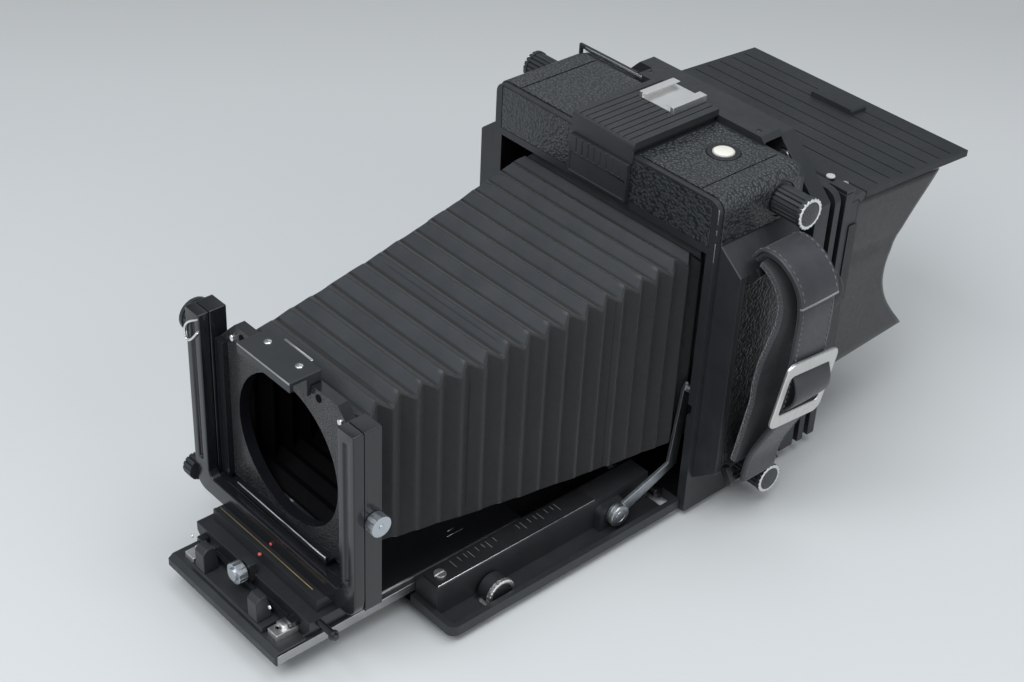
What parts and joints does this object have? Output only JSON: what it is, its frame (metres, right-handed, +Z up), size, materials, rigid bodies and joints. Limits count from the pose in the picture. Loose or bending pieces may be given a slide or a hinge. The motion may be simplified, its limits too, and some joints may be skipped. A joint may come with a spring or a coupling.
{
  "type": "large format field camera",
  "caption": "Folding metal 4x5 sheet-film field camera: boxy casing on a drop bed, tapered pleated bellows, rising lens standard, rod-mounted back, folding focusing hood, hand strap.",
  "frame": {"origin": "mouth of the tripod socket, in the middle of the base plate's underside", "axes": "+X to the camera's right side (the hand strap), +Y to its back (the focusing hood), +Z up"},
  "size_m": [0.2127, 0.4143, 0.1894],
  "materials": {
    "black_enamel": "satin black enamel",
    "black_plate": "matt black plate",
    "gloss_black": "gloss black enamel, crinkled on the lens frame",
    "ridged_black": "satin, ridged",
    "knob_black": "black with a bright rim",
    "grain_leather": "pebbled, semi-gloss",
    "strap_leather": "smooth black strap leather",
    "bellows_cloth": "matt thin leather, pleated",
    "hood_cloth": "matt leathercloth",
    "hood_metal": "satin black",
    "nickel": "bright nickel",
    "steel": "brushed",
    "brass_rack": "machined",
    "scale_metal": "satin black with a bright outer edge",
    "frosted_glass": "finely ground",
    "vial_glass": "clear"
  },
  "bodies": {
    "casing": {"base_plate": "black_plate", "body_shell": "black_enamel", "front_leather_panel": "grain_leather", "top_leather_panels": "grain_leather", "side_leather_panels": "grain_leather", "ridged_cover": "ridged_black", "accessory_shoe": "black_plate", "level_ring": "black_plate", "level_vial": "vial_glass", "side_housings": "black_enamel", "side_pads": "grain_leather", "rear_bridge": "black_enamel", "bed_hinge": "black_plate", "front_bellows": "bellows_cloth", "rear_bellows": "bellows_cloth", "hand_strap": "strap_leather", "strap_pad": "strap_leather", "strap_anchors": "black_plate", "strap_buckle": "nickel"},
    "catch": {"release_catch": "black_enamel"},
    "bed": {"bed_tray": "black_enamel", "bed_rails": "black_enamel", "scale_plates": "scale_metal", "bed_screws": "black_plate"},
    "struts": {"bed_struts": "black_plate"},
    "shaft": {"pinion_shaft": "steel", "focus_knobs": "knob_black"},
    "track": {"track_plate": "black_plate", "focus_rack": "brass_rack", "track_end_plate": "black_plate", "infinity_stops": "nickel"},
    "standard": {"standard_base": "black_plate", "clamp_levers": "nickel"},
    "grip_right": {"pinch_grip_right": "ridged_black"},
    "grip_left": {"pinch_grip_left": "ridged_black"},
    "front_knob": {"front_lock_knob": "nickel"},
    "carriage": {"shift_carriage": "black_plate"},
    "swinging_frame": {"swing_frame": "gloss_black"},
    "swing_knob": {"swing_lock_knob": "ridged_black"},
    "rising_frame": {"rise_frame": "gloss_black"},
    "rise_knob": {"rise_lock_knob": "ridged_black"},
    "lens_holder": {"lens_frame": "gloss_black"},
    "tilt_lock": {"tilt_knob": "nickel"},
    "board_lock": {"board_lock_plate": "black_plate"},
    "knob_upper_right": {"lock_knob_upper_right": "knob_black"},
    "knob_lower_right": {"lock_knob_lower_right": "knob_black"},
    "knob_upper_left": {"lock_knob_upper_left": "knob_black"},
    "knob_lower_left": {"lock_knob_lower_left": "knob_black"},
    "rods": {"back_rods": "steel"},
    "cups": {"swivel_cups": "steel"},
    "back": {"back_frame": "black_enamel", "film_back": "black_enamel"},
    "viewer": {"glass_frame": "black_enamel", "ground_glass": "frosted_glass", "hood_frame": "black_enamel", "hood_brackets": "hood_metal", "back_springs": "nickel", "hood_side_cloths": "hood_cloth"},
    "lid": {"hood_lid": "hood_metal"},
    "flap": {"hood_bottom_flap": "hood_metal"}
  },
  "joints": [
    {"name": "catch_slide", "type": "slide", "parent": "casing", "child": "catch", "axis": [0, 0, -1], "range_m": [0, 0.0025], "stiffness_N_per_m": 300},
    {"name": "bed_drop", "type": "hinge", "parent": "casing", "child": "bed", "pos_m": [0, -0.032, 0.007], "axis": [1, 0, 0], "range_deg": [0, 15], "deforming": ["front_bellows"]},
    {"name": "strut_swing", "type": "hinge", "parent": "bed", "child": "struts", "pos_m": [0, -0.0645, 0.0135], "axis": [1, 0, 0], "range_deg": [-11.7, 0.5]},
    {"name": "focus_spin", "type": "hinge", "parent": "bed", "child": "shaft", "pos_m": [0, -0.1415, 0.008], "axis": [1, 0, 0], "range_deg": [-1040, 10]},
    {"name": "focus_slide", "type": "slide", "parent": "bed", "child": "track", "axis": [0, 1, 0], "range_m": [0, 0.06], "deforming": ["front_bellows"]},
    {"name": "standard_slide", "type": "slide", "parent": "track", "child": "standard", "axis": [0, 1, 0], "range_m": [0, 0.05], "deforming": ["front_bellows"]},
    {"name": "grip_right_slide", "type": "slide", "parent": "standard", "child": "grip_right", "axis": [-1, 0, 0], "range_m": [0, 0.003], "stiffness_N_per_m": 200},
    {"name": "grip_left_slide", "type": "slide", "parent": "standard", "child": "grip_left", "axis": [1, 0, 0], "range_m": [0, 0.003], "stiffness_N_per_m": 200},
    {"name": "front_knob_spin", "type": "hinge", "parent": "standard", "child": "front_knob", "pos_m": [0, -0.2405, 0.0305], "axis": [0, 1, 0], "continuous": true},
    {"name": "shift_slide", "type": "slide", "parent": "standard", "child": "carriage", "axis": [1, 0, 0], "range_m": [-0.02, 0.02], "deforming": ["front_bellows"]},
    {"name": "swing_turn", "type": "hinge", "parent": "carriage", "child": "swinging_frame", "pos_m": [0, -0.21145, 0.036], "axis": [0, 0, 1], "range_deg": [-12, 12], "deforming": ["front_bellows"]},
    {"name": "swing_knob_spin", "type": "hinge", "parent": "swinging_frame", "child": "swing_knob", "pos_m": [-0.064, -0.2188, 0.04], "axis": [1, 0, 0], "continuous": true},
    {"name": "rise_slide", "type": "slide", "parent": "swinging_frame", "child": "rising_frame", "axis": [0, 0, 1], "range_m": [0, 0.028], "deforming": ["front_bellows"]},
    {"name": "rise_knob_spin", "type": "hinge", "parent": "rising_frame", "child": "rise_knob", "pos_m": [-0.065, -0.2113, 0.121], "axis": [1, 0, 0], "continuous": true},
    {"name": "tilt_turn", "type": "hinge", "parent": "rising_frame", "child": "lens_holder", "pos_m": [0, -0.2111, 0.0855], "axis": [1, 0, 0], "range_deg": [-10, 10], "deforming": ["front_bellows"]},
    {"name": "tilt_knob_spin", "type": "hinge", "parent": "lens_holder", "child": "tilt_lock", "pos_m": [0.063, -0.2111, 0.0855], "axis": [1, 0, 0], "continuous": true},
    {"name": "board_lock_slide", "type": "slide", "parent": "lens_holder", "child": "board_lock", "axis": [0, 0, 1], "range_m": [0, 0.003], "stiffness_N_per_m": 300},
    {"name": "knob_upper_right_spin", "type": "hinge", "parent": "casing", "child": "knob_upper_right", "pos_m": [0.084, 0.0131, 0.168], "axis": [1, 0, 0], "continuous": true},
    {"name": "knob_lower_right_spin", "type": "hinge", "parent": "casing", "child": "knob_lower_right", "pos_m": [0.084, 0.0131, 0.0145], "axis": [1, 0, 0], "continuous": true},
    {"name": "knob_upper_left_spin", "type": "hinge", "parent": "casing", "child": "knob_upper_left", "pos_m": [-0.084, 0.0131, 0.168], "axis": [1, 0, 0], "continuous": true},
    {"name": "knob_lower_left_spin", "type": "hinge", "parent": "casing", "child": "knob_lower_left", "pos_m": [-0.084, 0.0131, 0.0145], "axis": [1, 0, 0], "continuous": true},
    {"name": "back_draw", "type": "slide", "parent": "casing", "child": "rods", "axis": [0, 1, 0], "range_m": [0, 0.018], "deforming": ["rear_bellows"]},
    {"name": "back_swing", "type": "hinge", "parent": "rods", "child": "cups", "pos_m": [0, 0.0465, 0.0915], "axis": [0, 0, 1], "range_deg": [-5, 5], "deforming": ["rear_bellows"]},
    {"name": "back_tilt", "type": "hinge", "parent": "cups", "child": "back", "pos_m": [0, 0.0465, 0.0915], "axis": [1, 0, 0], "range_deg": [-4, 4], "deforming": ["rear_bellows"]},
    {"name": "glass_back_slide", "type": "slide", "parent": "back", "child": "viewer", "axis": [0, 1, 0], "range_m": [0, 0.008], "stiffness_N_per_m": 800},
    {"name": "lid_turn", "type": "hinge", "parent": "viewer", "child": "lid", "pos_m": [0, 0.0783, 0.145], "axis": [1, 0, 0], "range_deg": [-86.5, 0], "deforming": ["hood_side_cloths"]},
    {"name": "flap_turn", "type": "hinge", "parent": "viewer", "child": "flap", "pos_m": [0, 0.0733, 0.044], "axis": [1, 0, 0], "range_deg": [-0.5, 90]}
  ],
  "couplings": [
    {"joint": "strut_swing", "follows": "bed_drop", "ratio": -0.775},
    {"joint": "focus_spin", "follows": "focus_slide", "rad_per_m": -285.71},
    {"joint": "flap_turn", "follows": "lid_turn", "ratio": -1.04}
  ]
}
